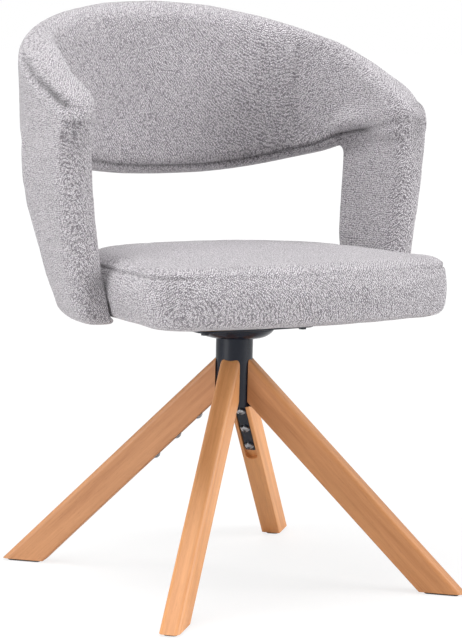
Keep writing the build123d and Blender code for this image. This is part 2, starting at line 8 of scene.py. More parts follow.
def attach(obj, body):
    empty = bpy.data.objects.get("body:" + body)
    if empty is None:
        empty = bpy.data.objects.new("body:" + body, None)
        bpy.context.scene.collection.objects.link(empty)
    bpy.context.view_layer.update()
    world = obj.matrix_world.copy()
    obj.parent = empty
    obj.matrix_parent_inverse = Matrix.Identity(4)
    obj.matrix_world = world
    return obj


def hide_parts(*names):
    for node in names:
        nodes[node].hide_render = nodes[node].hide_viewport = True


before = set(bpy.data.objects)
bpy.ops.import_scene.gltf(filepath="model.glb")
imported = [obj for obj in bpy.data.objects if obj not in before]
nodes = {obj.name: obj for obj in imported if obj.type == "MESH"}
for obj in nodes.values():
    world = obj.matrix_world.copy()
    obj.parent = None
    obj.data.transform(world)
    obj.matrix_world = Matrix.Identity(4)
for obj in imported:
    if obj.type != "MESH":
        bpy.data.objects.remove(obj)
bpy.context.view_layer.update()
scene = bpy.context.scene


# ---- small helpers ------------------------------------------------

# a grid of points (rows, columns, 3) becomes a closed skin: the columns run round and join up,
# and the first and last row are closed with a fan to their own middle
def skinFromGrid(name, grid):
    rows, cols = grid.shape[:2]
    idx = np.arange(rows * cols).reshape(rows, cols)
    nextCol = np.roll(idx, -1, 1)
    quads = np.stack([idx[:-1], nextCol[:-1], nextCol[1:], idx[1:]], -1).reshape(-1, 4)
    verts = np.concatenate([grid.reshape(-1, 3), grid[:1].mean(1), grid[-1:].mean(1)])
    first, last = rows * cols, rows * cols + 1
    low = np.stack([nextCol[0], idx[0], np.full(cols, first)], -1)
    high = np.stack([idx[-1], nextCol[-1], np.full(cols, last)], -1)
    return meshObject(name, verts, quads.tolist() + low.tolist() + high.tolist())


def meshObject(name, verts, faces):
    mesh = bpy.data.meshes.new(name)
    mesh.from_pydata(np.asarray(verts, float).tolist(), [], faces)
    bm = bmesh.new()
    bm.from_mesh(mesh)
    bmesh.ops.recalc_face_normals(bm, faces=bm.faces)
    bm.to_mesh(mesh)
    bm.free()
    obj = bpy.data.objects.new(name, mesh)
    scene.collection.objects.link(obj)
    return obj


def points(obj):
    co = np.empty(len(obj.data.vertices) * 3, np.float32)
    obj.data.vertices.foreach_get("co", co)
    return co.reshape(-1, 3).astype(float)


def normals(obj):
    no = np.empty(len(obj.data.vertices) * 3, np.float32)
    obj.data.vertex_normals.foreach_get("vector", no)
    return no.reshape(-1, 3).astype(float)


def setPoints(obj, co):
    obj.data.vertices.foreach_set("co", co.astype(np.float32).ravel())
    obj.data.update()


def smoothShade(obj):
    obj.data.polygons.foreach_set("use_smooth", np.ones(len(obj.data.polygons), bool))
    obj.data.update()


def applyModifiers(obj):
    graph = bpy.context.evaluated_depsgraph_get()
    graph.update()
    done = bpy.data.meshes.new_from_object(obj.evaluated_get(graph))
    obj.modifiers.clear()
    old = obj.data
    obj.data = done
    bpy.data.meshes.remove(old)


def remesh(obj, voxel):
    mod = obj.modifiers.new("remesh", "REMESH")
    mod.mode = "VOXEL"
    mod.voxel_size = voxel
    mod.use_smooth_shade = True
    applyModifiers(obj)


def relax(obj, rounds, factor=0.5):
    mod = obj.modifiers.new("relax", "SMOOTH")
    mod.factor = factor
    mod.iterations = rounds
    applyModifiers(obj)


def subdivide(obj):
    mod = obj.modifiers.new("subdivide", "SUBSURF")
    mod.levels = mod.render_levels = 1
    applyModifiers(obj)


# soft step from 0 to 1 between two values
def ramp(x, start, end):
    t = np.clip((x - start) / (end - start), 0, 1)
    return t * t * (3 - 2 * t)


# bell of height 1 at the middle, that wide
def bell(x, width):
    return np.exp(-((x / width) ** 2))


# blows the closed skin up a little with the cloth solver, then caps how far a point may have moved
def puff(obj, pressure, cap, frames=20):
    start = points(obj)
    cloth = obj.modifiers.new("puff", "CLOTH")
    s = cloth.settings
    s.use_pressure = True
    s.uniform_pressure_force = pressure
    s.effector_weights.gravity = 0
    s.quality = 5
    s.mass = 0.3
    s.tension_stiffness = s.compression_stiffness = 15
    s.bending_stiffness = 0.5
    cloth.collision_settings.use_collision = False
    cloth.point_cache.frame_start = 1
    cloth.point_cache.frame_end = frames
    for f in range(1, frames + 1):
        scene.frame_set(f)
    applyModifiers(obj)
    scene.frame_set(1)
    moved = points(obj) - start
    length = np.linalg.norm(moved, axis=1, keepdims=True)
    share = np.minimum(1, cap / np.maximum(length, 1e-9))
    setPoints(obj, start + moved * share)


# ---- materials ----------------------------------------------------

def newMaterial(name):
    mat = bpy.data.materials.new(name)
    mat.use_nodes = True
    return mat, mat.node_tree.nodes, mat.node_tree.links, mat.node_tree.nodes["Principled BSDF"]


def add(ns, kind, **values):
    node = ns.new(kind)
    for key, value in values.items():
        if key in node.inputs.keys():
            node.inputs[key].default_value = value
        else:
            setattr(node, key, value)
    return node


def paint(obj, mat):
    obj.data.materials.clear()
    obj.data.materials.append(mat)


# chunky flat weave: rounded nubs of pale yarn, darker between them, a little longer up and down; the colour is also
# darkened by painted shade in folds and seams
weave = dict(nub=545.0, random=0.45, yarn=0.28, pale=(0.765, 0.732, 0.765, 1), dark=(0.175, 0.162, 0.176, 1),
             depth=0.0012, tilt=0.6, foldShadeStrength=0.68, longer=0.85, wobble=0.004, between=0.66, top=0.14,
             soft=0.25, start=0.22)


def weaveMaterial():
    mat, ns, ln, bsdf = newMaterial("greyWeave")
    place = add(ns, "ShaderNodeTexCoord")
    turn = add(ns, "ShaderNodeMapping", Rotation=(0.0, weave["tilt"], weave["tilt"]),
               Scale=(1.0, 1.0, weave["longer"]))
    ln.new(place.outputs["Object"], turn.inputs["Vector"])
    wobble = add(ns, "ShaderNodeTexNoise", Scale=140.0, Detail=2.0)
    ln.new(turn.outputs["Vector"], wobble.inputs["Vector"])
    mixed = add(ns, "ShaderNodeMix", data_type="VECTOR")
    mixed.inputs[0].default_value = weave["wobble"]
    ln.new(turn.outputs["Vector"], mixed.inputs[4])
    ln.new(wobble.outputs["Color"], mixed.inputs[5])
    cells = add(ns, "ShaderNodeTexVoronoi", Scale=weave["nub"], Randomness=weave["random"],
                feature="SMOOTH_F1", Smoothness=weave["soft"])
    ln.new(mixed.outputs[1], cells.inputs["Vector"])
    height = add(ns, "ShaderNodeMapRange")
    height.inputs["From Min"].default_value = weave["between"]
    height.inputs["From Max"].default_value = weave["top"]
    ln.new(cells.outputs["Distance"], height.inputs["Value"])
    yarn = add(ns, "ShaderNodeTexNoise", Scale=620.0, Detail=3.0)
    ln.new(turn.outputs["Vector"], yarn.inputs["Vector"])
    both = add(ns, "ShaderNodeMath", operation="MULTIPLY_ADD")
    both.inputs[1].default_value = weave["yarn"]
    ln.new(yarn.outputs["Fac"], both.inputs[0])
    ln.new(height.outputs["Result"], both.inputs[2])
    colour = add(ns, "ShaderNodeValToRGB")
    stops = colour.color_ramp.elements
    stops[0].position = weave["start"]
    stops[0].color = weave["dark"]
    stops[1].position = 1.0
    stops[1].color = weave["pale"]
    ln.new(both.outputs[0], colour.inputs["Fac"])
    cloud = add(ns, "ShaderNodeTexNoise", Scale=14.0, Detail=3.0)
    ln.new(place.outputs["Object"], cloud.inputs["Vector"])
    tone = add(ns, "ShaderNodeMapRange")
    tone.inputs["To Min"].default_value = 0.90
    tone.inputs["To Max"].default_value = 1.08
    ln.new(cloud.outputs["Fac"], tone.inputs["Value"])
    shade = add(ns, "ShaderNodeVectorMath", operation="SCALE")
    ln.new(colour.outputs["Color"], shade.inputs[0])
    ln.new(tone.outputs["Result"], shade.inputs["Scale"])
    # painted shade: the stored fold and seam weight darkens the fabric colour in the creases
    depth = add(ns, "ShaderNodeAttribute", attribute_name="paintedFoldShade")
    foldShadeFactor = add(ns, "ShaderNodeMapRange")
    foldShadeFactor.inputs["To Min"].default_value = 1.0
    foldShadeFactor.inputs["To Max"].default_value = 1 - weave["foldShadeStrength"]
    ln.new(depth.outputs["Fac"], foldShadeFactor.inputs["Value"])
    foldShadedColour = add(ns, "ShaderNodeVectorMath", operation="SCALE")
    ln.new(shade.outputs["Vector"], foldShadedColour.inputs[0])
    ln.new(foldShadeFactor.outputs["Result"], foldShadedColour.inputs["Scale"])
    ln.new(foldShadedColour.outputs["Vector"], bsdf.inputs["Base Color"])
    bump = add(ns, "ShaderNodeBump", Strength=0.85, Distance=weave["depth"])
    ln.new(both.outputs[0], bump.inputs["Height"])
    ln.new(bump.outputs["Normal"], bsdf.inputs["Normal"])
    bsdf.inputs["Roughness"].default_value = 0.92
    bsdf.inputs["Specular IOR Level"].default_value = 0.25
    bsdf.inputs["Sheen Weight"].default_value = 0.25
    bsdf.inputs["Sheen Roughness"].default_value = 0.5
    return mat


# oiled beech: slow bands and fine flecks stretched along the leg, so the pattern is turned to each leg;
# each leg's colour is scaled by its own factor, lighter or darker and warmer or cooler
beech = dict(tones=dict(front_left=(0.80, 0.76, 0.72), front_right=(1.0, 1.0, 1.0), rear_right=(0.79, 0.79, 0.86),
                        rear_left=(1.02, 0.99, 0.90)), pale=(0.67, 0.320, 0.128, 1), deep=(0.45, 0.185, 0.062, 1),
             slope=45.1, stretch=0.06)


def beechMaterial(corner, angle):
    mat, ns, ln, bsdf = newMaterial("beech_" + corner)
    place = add(ns, "ShaderNodeTexCoord")
    level = add(ns, "ShaderNodeMapping", Rotation=(0.0, 0.0, -math.radians(angle)))
    ln.new(place.outputs["Object"], level.inputs["Vector"])
    along = add(ns, "ShaderNodeMapping", Rotation=(0.0, -math.radians(beech["slope"]), 0.0))
    ln.new(level.outputs["Vector"], along.inputs["Vector"])
    long = add(ns, "ShaderNodeMapping", Scale=(beech["stretch"], 1.0, 1.0), Location=(angle * 0.01, 0.0, 0.0))
    ln.new(along.outputs["Vector"], long.inputs["Vector"])
    bands = add(ns, "ShaderNodeTexNoise", Scale=70.0, Detail=5.0, Roughness=0.6, Distortion=0.3)
    ln.new(long.outputs["Vector"], bands.inputs["Vector"])
    grain = add(ns, "ShaderNodeTexNoise", Scale=700.0, Detail=4.0, Roughness=0.7)
    ln.new(long.outputs["Vector"], grain.inputs["Vector"])
    flecks = add(ns, "ShaderNodeTexVoronoi", Scale=420.0, Randomness=1.0)
    shortFleck = add(ns, "ShaderNodeMapping", Scale=(0.16, 1.0, 1.0))
    ln.new(along.outputs["Vector"], shortFleck.inputs["Vector"])
    ln.new(shortFleck.outputs["Vector"], flecks.inputs["Vector"])
    fleckDark = add(ns, "ShaderNodeMapRange")
    fleckDark.inputs["From Min"].default_value = 0.05
    fleckDark.inputs["From Max"].default_value = 0.22
    ln.new(flecks.outputs["Distance"], fleckDark.inputs["Value"])
    blend = add(ns, "ShaderNodeMath", operation="MULTIPLY_ADD")
    blend.inputs[1].default_value = 0.35
    ln.new(grain.outputs["Fac"], blend.inputs[0])
    ln.new(bands.outputs["Fac"], blend.inputs[2])
    colour = add(ns, "ShaderNodeValToRGB")
    colour.color_ramp.elements[0].position = 0.42
    colour.color_ramp.elements[0].color = beech["deep"]
    colour.color_ramp.elements[1].position = 0.86
    colour.color_ramp.elements[1].color = beech["pale"]
    ln.new(blend.outputs[0], colour.inputs["Fac"])
    fleck = add(ns, "ShaderNodeMapRange")
    fleck.inputs["To Min"].default_value = 0.86
    fleck.inputs["To Max"].default_value = 1.0
    ln.new(fleckDark.outputs["Result"], fleck.inputs["Value"])
    shade = add(ns, "ShaderNodeVectorMath", operation="SCALE")
    ln.new(colour.outputs["Color"], shade.inputs[0])
    ln.new(fleck.outputs["Result"], shade.inputs["Scale"])
    toned = add(ns, "ShaderNodeVectorMath", operation="MULTIPLY")
    toned.inputs[1].default_value = beech["tones"][corner]
    ln.new(shade.outputs["Vector"], toned.inputs[0])
    ln.new(toned.outputs["Vector"], bsdf.inputs["Base Color"])
    rough = add(ns, "ShaderNodeMapRange")
    rough.inputs["To Min"].default_value = 0.42
    rough.inputs["To Max"].default_value = 0.58
    ln.new(grain.outputs["Fac"], rough.inputs["Value"])
    ln.new(rough.outputs["Result"], bsdf.inputs["Roughness"])
    bump = add(ns, "ShaderNodeBump", Strength=0.25, Distance=0.0003)
    ln.new(grain.outputs["Fac"], bump.inputs["Height"])
    ln.new(bump.outputs["Normal"], bsdf.inputs["Normal"])
    return mat


# a plain finish with a fine mottling in colour, gloss and surface
def mottled(name, low, high, scale, rough, metallic=0.0, bump=0.0001, stretch=(1.0, 1.0, 1.0), strength=0.3):
    mat, ns, ln, bsdf = newMaterial(name)
    place = add(ns, "ShaderNodeTexCoord")
    turn = add(ns, "ShaderNodeMapping", Scale=stretch)
    ln.new(place.outputs["Object"], turn.inputs["Vector"])
    noise = add(ns, "ShaderNodeTexNoise", Scale=scale, Detail=4.0, Roughness=0.6)
    ln.new(turn.outputs["Vector"], noise.inputs["Vector"])
    colour = add(ns, "ShaderNodeValToRGB")
    colour.color_ramp.elements[0].position = 0.3
    colour.color_ramp.elements[0].color = (*low, 1)
    colour.color_ramp.elements[1].position = 0.7
    colour.color_ramp.elements[1].color = (*high, 1)
    ln.new(noise.outputs["Fac"], colour.inputs["Fac"])
    ln.new(colour.outputs["Color"], bsdf.inputs["Base Color"])
    gloss = add(ns, "ShaderNodeMapRange")
    gloss.inputs["To Min"].default_value = rough[0]
    gloss.inputs["To Max"].default_value = rough[1]
    ln.new(noise.outputs["Fac"], gloss.inputs["Value"])
    ln.new(gloss.outputs["Result"], bsdf.inputs["Roughness"])
    lift = add(ns, "ShaderNodeBump", Strength=strength, Distance=bump)
    ln.new(noise.outputs["Fac"], lift.inputs["Height"])
    ln.new(lift.outputs["Normal"], bsdf.inputs["Normal"])
    bsdf.inputs["Metallic"].default_value = metallic
    return mat


print("materials")
greyWeave = weaveMaterial()
darkSteel = mottled("powderCoat", (0.004, 0.006, 0.012), (0.008, 0.011, 0.021), 900, (0.20, 0.30), bump=0.00006)
darkSteel.node_tree.nodes["Principled BSDF"].inputs["Specular IOR Level"].default_value = 0.28
zinc = mottled("brightZinc", (0.24, 0.24, 0.25), (0.40, 0.40, 0.41), 260, (0.12, 0.24), 1.0, 0.00004)
steel = mottled("drawnSteel", (0.38, 0.38, 0.40), (0.52, 0.52, 0.54), 500, (0.28, 0.42), 1.0, 0.00004)
brass = mottled("turnedBrass", (0.62, 0.44, 0.20), (0.74, 0.56, 0.28), 300, (0.22, 0.34), 1.0, 0.00004)
palePlastic = mottled("palePlastic", (0.62, 0.60, 0.54), (0.70, 0.69, 0.63), 400, (0.45, 0.60))
glidePlastic = mottled("glidePlastic", (0.018, 0.018, 0.018), (0.035, 0.035, 0.035), 700, (0.55, 0.70))
lining = mottled("liningCloth", (0.010, 0.010, 0.011), (0.035, 0.035, 0.037), 1500, (0.85, 0.95), bump=0.0004)
plywood = mottled("plywood", (0.36, 0.22, 0.11), (0.58, 0.40, 0.23), 90, (0.6, 0.75), stretch=(0.08, 1, 1))

legAngles = dict(front_left=-45, front_right=-135, rear_right=135, rear_left=45)
for corner, angle in legAngles.items():
    paint(nodes[corner + "_leg"], beechMaterial(corner, angle))
    paint(nodes[corner + "_glide"], glidePlastic)
finishes = {
    "leg_spider": darkSteel, "column_tube": darkSteel, "bearing_cup": darkSteel, "swivel_plate": darkSteel,
    "leg_screws": zinc, "leg_screw_washers": zinc, "plate_bolts": darkSteel, "tee_nuts": zinc, "clamp_screws": zinc,
    "leg_threaded_inserts": brass, "upper_bush": palePlastic, "lower_bush": palePlastic,
    "thrust_washer": palePlastic, "spindle": steel, "retaining_ring": steel, "back_frame": steel,
    "frame_clamps": steel, "tilt_wedge": plywood, "seat_board": plywood, "dust_cover": lining,
}
for name, mat in finishes.items():
    paint(nodes[name], mat)


# ---- back and arms ------------------------------------------------

back = dict(
    halfWidth=0.2663, depth=0.2081, start=0.0156, power=2.47, lean=0.105, planHeight=0.652,
    front=-0.049, thick=0.045, endThick=0.0475, shoulder=0.009, under=0.016,
    innerTop=(0.020, 0.011), outerTop=(0.021, 0.022), drop=0.003, ridge=0.0065,
    angles=[0, 14, 30, 46, 64, 77, 90], rims=[0.7925, 0.7876, 0.7748, 0.7580, 0.7362, 0.7168, 0.6898],
    endRim=0.6620, tipLength=0.048, tipDrop=0.017, low=0.5475, sideLow=0.5925, sideRise=0.010,
)
arm = dict(
    thick=0.0475, front=-0.0436, corner=0.019, foot=0.369, footRound=0.016, seatGap=0.0018, tuck=0.35,
    reachIn=0.008, head=0.641, headRound=0.018,
    trimHeights=[0.369, 0.400, 0.430, 0.460, 0.500, 0.520, 0.550, 0.575, 0.600, 0.625, 0.641],
    trims=[0.0090, 0.0090, 0.0075, 0.0065, 0.0035, 0.0015, 0.0012, 0.0025, 0.0050, 0.0060, 0.0060],
    heights=[0.369, 0.383, 0.426, 0.467, 0.508, 0.550, 0.591, 0.632, 0.665],
    middles=[0.2248, 0.2341, 0.2437, 0.2495, 0.2557, 0.2607, 0.2640, 0.2658, 0.2663],
    rears=[0.0582, 0.0640, 0.0800, 0.0940, 0.1020, 0.1070, 0.1100, 0.1120, 0.1130],
    turns=[4.0, 4.0, 4.0, 3.7, 3.3, 2.8, 2.3, 1.8, 1.3],
)
planPower = 2 / back["power"]


# angle round the superellipse at which a plan point lies; 90 on the straight sides
def planAngle(x, y):
    ahead = np.maximum((y - back["start"]) / back["depth"], 1e-6)
    return np.degrees(np.arctan((np.abs(x) / back["halfWidth"] / ahead) ** (back["power"] / 2)))


# plan of the back by distance along it from the middle: a superellipse to its widest point, then
# straight on to the front; gives x, y, the outward normal and the angle
def planAlong(reach, z):
    depth = back["depth"] - (back["planHeight"] - z) * back["lean"]
    theta = np.linspace(0, np.pi / 2, 400)
    xs = back["halfWidth"] * np.sin(theta) ** planPower
    ys = back["depth"] * np.cos(theta) ** planPower
    run = np.concatenate([[0], np.cumsum(np.hypot(np.diff(xs), np.diff(ys)))])
    t = np.interp(np.abs(reach), run, theta)
    st, ct = np.maximum(np.sin(t), 1e-6), np.maximum(np.cos(t), 1e-6)
    x = back["halfWidth"] * st ** planPower
    y = back["start"] + depth * ct ** planPower - np.maximum(np.abs(reach) - run[-1], 0)
    nx, ny = st ** (2 - planPower) / back["halfWidth"], ct ** (2 - planPower) / depth
    size = np.hypot(nx, ny)
    side = np.where(reach < 0, -1.0, 1.0)
    return side * x, y, side * nx / size, ny / size, np.degrees(t), run[-1]


# height of the rim from the angle, and from y where the run is straight
def rimHeight(angle, y):
    straight = np.clip((back["start"] - y) / (back["start"] - back["front"]), 0, 1) * (angle > 89)
    return np.interp(angle, back["angles"], back["rims"]) + (back["endRim"] - back["rims"][-1]) * straight


def lowHeight(angle):
    rise = back["sideRise"] * ramp(angle, 55, 75)
    return back["low"] + (back["sideLow"] - back["low"]) * np.sin(np.radians(angle)) ** 2 + rise


# closed outline with four rounded corners from arrays of its edges: corners go outer top, inner top,
# inner low, outer low, each a quarter circle, with straight sides between
def roundedOutline(inner, outer, low, innerTop, outerTop, radii, count=12, fill=16):
    quarter = np.linspace(0, np.pi / 2, count)
    side = np.linspace(0, 1, fill + 2)[1:-1]
    corners = [(outer, outerTop, -1, -1), (inner, innerTop, 1, -1), (inner, low, 1, 1), (outer, low, -1, 1)]
    arcs = []
    for k, (d, h, inD, inH) in enumerate(corners):
        r = radii[k]
        turned = quarter + k * np.pi / 2
        arcs.append((d + inD * r + r * np.cos(turned), h + inH * r + r * np.sin(turned)))
    parts = []
    for k in range(4):
        here, after = arcs[k], arcs[(k + 1) % 4]
        parts.append(here)
        parts.append(tuple(h[:, -1:] + (a[:, :1] - h[:, -1:]) * side for h, a in zip(here, after)))
    return np.concatenate([p[0] for p in parts], 1), np.concatenate([p[1] for p in parts], 1)


# the back: sections from the lower edge to the rim, square to the plan and leaning with it; towards the
# front the top slopes outward from a crisper inner edge, and each end is drawn in to a rounded nose
def backForm():
    total = planAlong(np.zeros(1), back["planHeight"])[5]
    last = total + back["start"] - back["front"]
    nose = back["endThick"] / 2 * 0.95
    share = np.sin(np.linspace(0, np.pi / 2, 9))[1:]
    reach = np.concatenate([np.linspace(0, last - nose, 90), last - nose + nose * share])
    inset = np.concatenate([np.zeros(90), nose * (1 - np.sqrt(np.maximum(1 - share ** 2, 0.002)))])
    reach = np.concatenate([-reach[:0:-1], reach])[:, None]
    inset = np.concatenate([inset[:0:-1], inset])[:, None]
    x, y, nx, ny, angle, total = planAlong(reach, back["planHeight"])
    rim, low = rimHeight(angle, y) - inset, lowHeight(angle) + inset
    half = (back["thick"] + (back["endThick"] - back["thick"]) * angle / 90) / 2 - inset
    towardsFront = ramp(angle, 30, 72)
    fuller = back["shoulder"] * ramp(angle, 45, 80) * ramp(y, -0.050, -0.015)
    limit = half * 0.98
    innerTop = np.minimum(back["innerTop"][0] + (back["innerTop"][1] - back["innerTop"][0]) * towardsFront, limit)
    outerTop = np.minimum(back["outerTop"][0] + (back["outerTop"][1] - back["outerTop"][0]) * towardsFront, limit)
    under = np.minimum(back["under"], limit)
    near = np.clip((np.abs(reach) - last + back["tipLength"]) / back["tipLength"], 0, 1)
    tip = back["tipDrop"] * (1 - np.sqrt(1 - near ** 2))
    raised = rim + back["ridge"] * bell(y - 0.085, 0.070) * ramp(angle, 40, 70) - tip
    dropped = rim - back["drop"] * towardsFront - tip * 1.25
    d, z = roundedOutline(-half - fuller, half, low, raised, dropped, (outerTop, innerTop, under, under))
    offset = d + back["lean"] * ny * (z - back["planHeight"])
    return np.stack([x + nx * offset, y + ny * offset, z], -1)


# one arm: rounded slabs lying level, stacked from the rounded foot up into the back; side is 1 for left
def armForm(side):
    curve = np.linspace(0, np.pi / 2, 8)
    z = np.concatenate([arm["foot"] + arm["footRound"] * (1 - np.cos(curve)),
                        np.linspace(arm["foot"] + arm["footRound"], arm["head"] - arm["headRound"], 66)[1:-1],
                        arm["head"] - arm["headRound"] * (1 - np.sin(curve))])[:, None]
    up = np.clip((z - arm["foot"]) / arm["footRound"], 0, 1)
    over = np.clip((z - arm["head"] + arm["headRound"]) / arm["headRound"], 0, 1)
    inset = arm["footRound"] * (1 - np.sqrt(np.maximum(1 - (1 - up) ** 2, 0.003)))
    reachIn = arm["reachIn"] * ramp(z, 0.432, 0.385)
    top = arm["headRound"] * (1 - np.sqrt(np.maximum(1 - over ** 2, 0.003)))
    rear, middle = np.interp(z, arm["heights"], arm["rears"]), np.interp(z, arm["heights"], arm["middles"])
    halfWide, halfLong = arm["thick"] / 2 - inset - top, (rear - arm["front"]) / 2 - inset - top
    radius = np.minimum(arm["corner"], halfWide * 0.98)
    tuck = inset * (1 - arm["tuck"]) + reachIn
    u, v = roundedOutline(-halfWide - tuck, halfWide, -halfLong, halfLong, halfLong, (radius,) * 4)
    turn = np.radians(np.interp(z, arm["heights"], arm["turns"]))
    x = middle + u * np.cos(turn) - v * np.sin(turn)
    y = (rear + arm["front"]) / 2 + u * np.sin(turn) + v * np.cos(turn)
    outerSide = np.clip(0.5 + u / arm["thick"], 0, 1)
    x -= np.interp(z, arm["trimHeights"], arm["trims"]) * outerSide * ramp(v / halfLong, -0.2, 0.9)
    return np.stack([side * x, y, z + 0 * x], -1)


# ---- seat outline, shared by the arms that lie against it ---------

seat = dict(
    base=0.3752, tilt=1.5, frontY=-0.2308, cornerX=0.2319, cornerY=-0.1916, cornerRadius=0.052,
    backX=0.1942, backY=0.1702, backRadius=0.150, thick=0.0780, crown=0.0065, under=0.013, top=0.019,
    bulge=0.0035, seamDrop=0.0115, seamDepth=0.0018,
)


# plan of the seat: bowed front, tapered sides and round back, each corner an arc tangent to its two
# neighbours, then points at even steps all round
def seatPlan(count=400):
    cx, cy, bx, by = seat["cornerX"], seat["cornerY"], seat["backX"], seat["backY"]
    pts = []

    def corner(at, before, after, radius):
        a, b = (np.subtract(p, at) / np.hypot(*np.subtract(p, at)) for p in (before, after))
        half = math.acos(float(a @ b)) / 2
        middle = np.add(at, (a + b) / np.hypot(*(a + b)) * radius / math.sin(half))
        first, last = (np.add(at, v * radius / math.tan(half)) - middle for v in (a, b))
        t = np.linspace(0, 1, 24)[:, None]
        chord = first * (1 - t) + last * t
        pts.extend(middle + chord / np.hypot(chord[:, 0], chord[:, 1])[:, None] * radius)

    slope = 2 * (cy - seat["frontY"]) / cx
    corner((cx, cy), (0, cy - slope * cx), (bx, by), seat["cornerRadius"])
    corner((bx, by), (cx, cy), (-bx, by), seat["backRadius"])
    corner((-bx, by), (bx, by), (-cx, cy), seat["backRadius"])
    corner((-cx, cy), (-bx, by), (0, cy - slope * cx), seat["cornerRadius"])
    across = np.linspace(-0.75, 0.75, 40) * cx
    pts.extend(np.stack([across, seat["frontY"] + (cy - seat["frontY"]) * (across / cx) ** 2], 1))
    pts = np.array(pts + pts[:1])
    run = np.concatenate([[0], np.cumsum(np.hypot(*np.diff(pts, axis=0).T))])
    even = np.linspace(0, run[-1], count, endpoint=False)
    return np.interp(even, run, pts[:, 0]), np.interp(even, run, pts[:, 1])


# how far the seat's edge lies inside its plan at a height over its underside
def edgeInset(h):
    low = seat["under"] - np.sqrt(np.maximum(seat["under"] ** 2 - np.maximum(seat["under"] - h, 0) ** 2, 0))
    over = np.maximum(h - seat["thick"] + seat["top"], 0)
    high = seat["top"] - np.sqrt(np.maximum(seat["top"] ** 2 - over ** 2, 0))
    return low + high - seat["bulge"] * bell(h - seat["thick"] * 0.45, 0.026)


def seatLevel(y, z):
    return (z - seat["base"]) + math.tan(math.radians(seat["tilt"])) * y


# the arm's inner face gives way to the seat: points nearer the middle than the seat's side and a
# narrow gap move straight out
def clearOfSeat(obj):
    co = points(obj)
    px, py = seatPlan()
    right = px > 0
    order = np.argsort(py[right])
    h = seatLevel(co[:, 1], co[:, 2])
    edge = np.interp(co[:, 1], py[right][order], px[right][order]) - edgeInset(np.clip(h, 0, seat["thick"]))
    beside = (h > 0.0) & (h < seat["thick"] + 0.004)
    edge = np.where(beside, edge + arm["seatGap"], 0)
    co[:, 0] = np.sign(co[:, 0]) * np.maximum(np.abs(co[:, 0]), edge)
    setPoints(obj, co)


# folds pressed into the skin of back and arms, each by a profile across it: a narrow trough between two fuller lips.
# Outside, a line a little under the rim that deepens towards the front; inside, the sloping line where
# the back's roll ends over the arm, which lies further out than the roll does; and the front of the arm
# sinks a little under the end of the roll. How deep a point lies is kept as painted shade, which darkens the
# fabric colour in the folds and seams
fold = dict(outerDrop=0.0125, outerDepth=0.0070, outerLip=0.0008, height=0.624, slope=0.216,
            innerDepth=0.0100, innerLip=0.0050, setBack=0.0055, seamRise=0.0105, seamDepth=0.0022,
            hollow=0.0050, hollowAt=(0.275, 0.628), trough=0.0044, seam=0.0022)


def pressFolds(obj):
    co, no = points(obj), normals(obj)
    x, y, z = co.T
    angle = planAngle(x, y)
    outward = no[:, 0] * np.sign(x)
    s = z - (rimHeight(angle, y) - fold["outerDrop"])
    along = ramp(outward, 0.0, 0.45) * ramp(y, -0.058, -0.040) * ramp(y, 0.150, 0.070)
    along *= 0.65 + 0.35 * ramp(y, 0.06, -0.02)
    outerTrough = bell(s, fold["trough"]) * along
    press = fold["outerDepth"] * outerTrough * (0.15 + 0.85 * ramp(y, -0.040, -0.005))
    outer = fold["outerLip"] * (bell(s - 0.011, 0.007) + bell(s + 0.015, 0.010)) * along * ramp(y, -0.03, 0.0)
    s = z - (fold["height"] - fold["slope"] * y)
    facing = ramp(-outward, 0.1, 0.6) * (0.18 + 0.82 * ramp(y, 0.015, 0.052))
    facing = np.maximum(facing, 0.18 * ramp(-no[:, 1], 0.5, 0.9)) * ramp(y, 0.106, 0.088) * (np.abs(x) > 0.17)
    innerTrough = bell(s, fold["trough"]) * facing
    inner = fold["innerLip"] * bell(s - 0.018, 0.013) * facing
    inner -= fold["setBack"] * np.where(s < 0, bell(s, 0.032), 0) * ramp(s, 0.0, -0.006) * facing
    s = z - (lowHeight(angle) + fold["seamRise"])
    inward = -(no[:, 0] * x + no[:, 1] * (y - 0.05))
    seam = bell(s, fold["seam"]) * ramp(inward, 0.01, 0.05) * ramp(y, 0.085, 0.105)
    hx, hz = fold["hollowAt"]
    hollow = bell(np.abs(x) - hx, 0.017) * bell(z - hz, np.where(z > hz, 0.012, 0.045))
    hollow *= ramp(-no[:, 1], 0.3, 0.8) * (y < 0)
    move = outer + inner - press - fold["innerDepth"] * innerTrough
    move -= fold["seamDepth"] * seam + fold["hollow"] * hollow
    setPoints(obj, co + no * move[:, None])
    # painted shade: trough, seam and hollow weights are stored to darken the fabric colour there
    keepPaintedShade(obj, np.clip(outerTrough * 0.9 + innerTrough + 0.8 * seam + 0.35 * hollow, 0, 1))


# how deep each point lies in a fold or seam, from 0 to 1, kept as painted shade that darkens the fabric colour there
def keepPaintedShade(obj, depth):
    layer = obj.data.attributes.new("paintedFoldShade", "FLOAT", "POINT")
    layer.data.foreach_set("value", depth.astype(np.float32))


print("back and arms")
cover = skinFromGrid("backAndArms", backForm())
for side in (1, -1):
    piece = skinFromGrid("armForm", armForm(side))
    bm = bmesh.new()
    bm.from_mesh(cover.data)
    bm.from_mesh(piece.data)
    bm.to_mesh(cover.data)
    bm.free()
    bpy.data.objects.remove(piece)
remesh(cover, 0.0045)
relax(cover, 5)
puff(cover, 2.0, 0.002, 12)
clearOfSeat(cover)
relax(cover, 1)
subdivide(cover)
pressFolds(cover)
smoothShade(cover)
paint(cover, greyWeave)
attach(cover, "seat")
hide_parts("back_pad", "back_outer_panel", "left_arm_pad", "right_arm_pad")


# ---- seat ---------------------------------------------------------

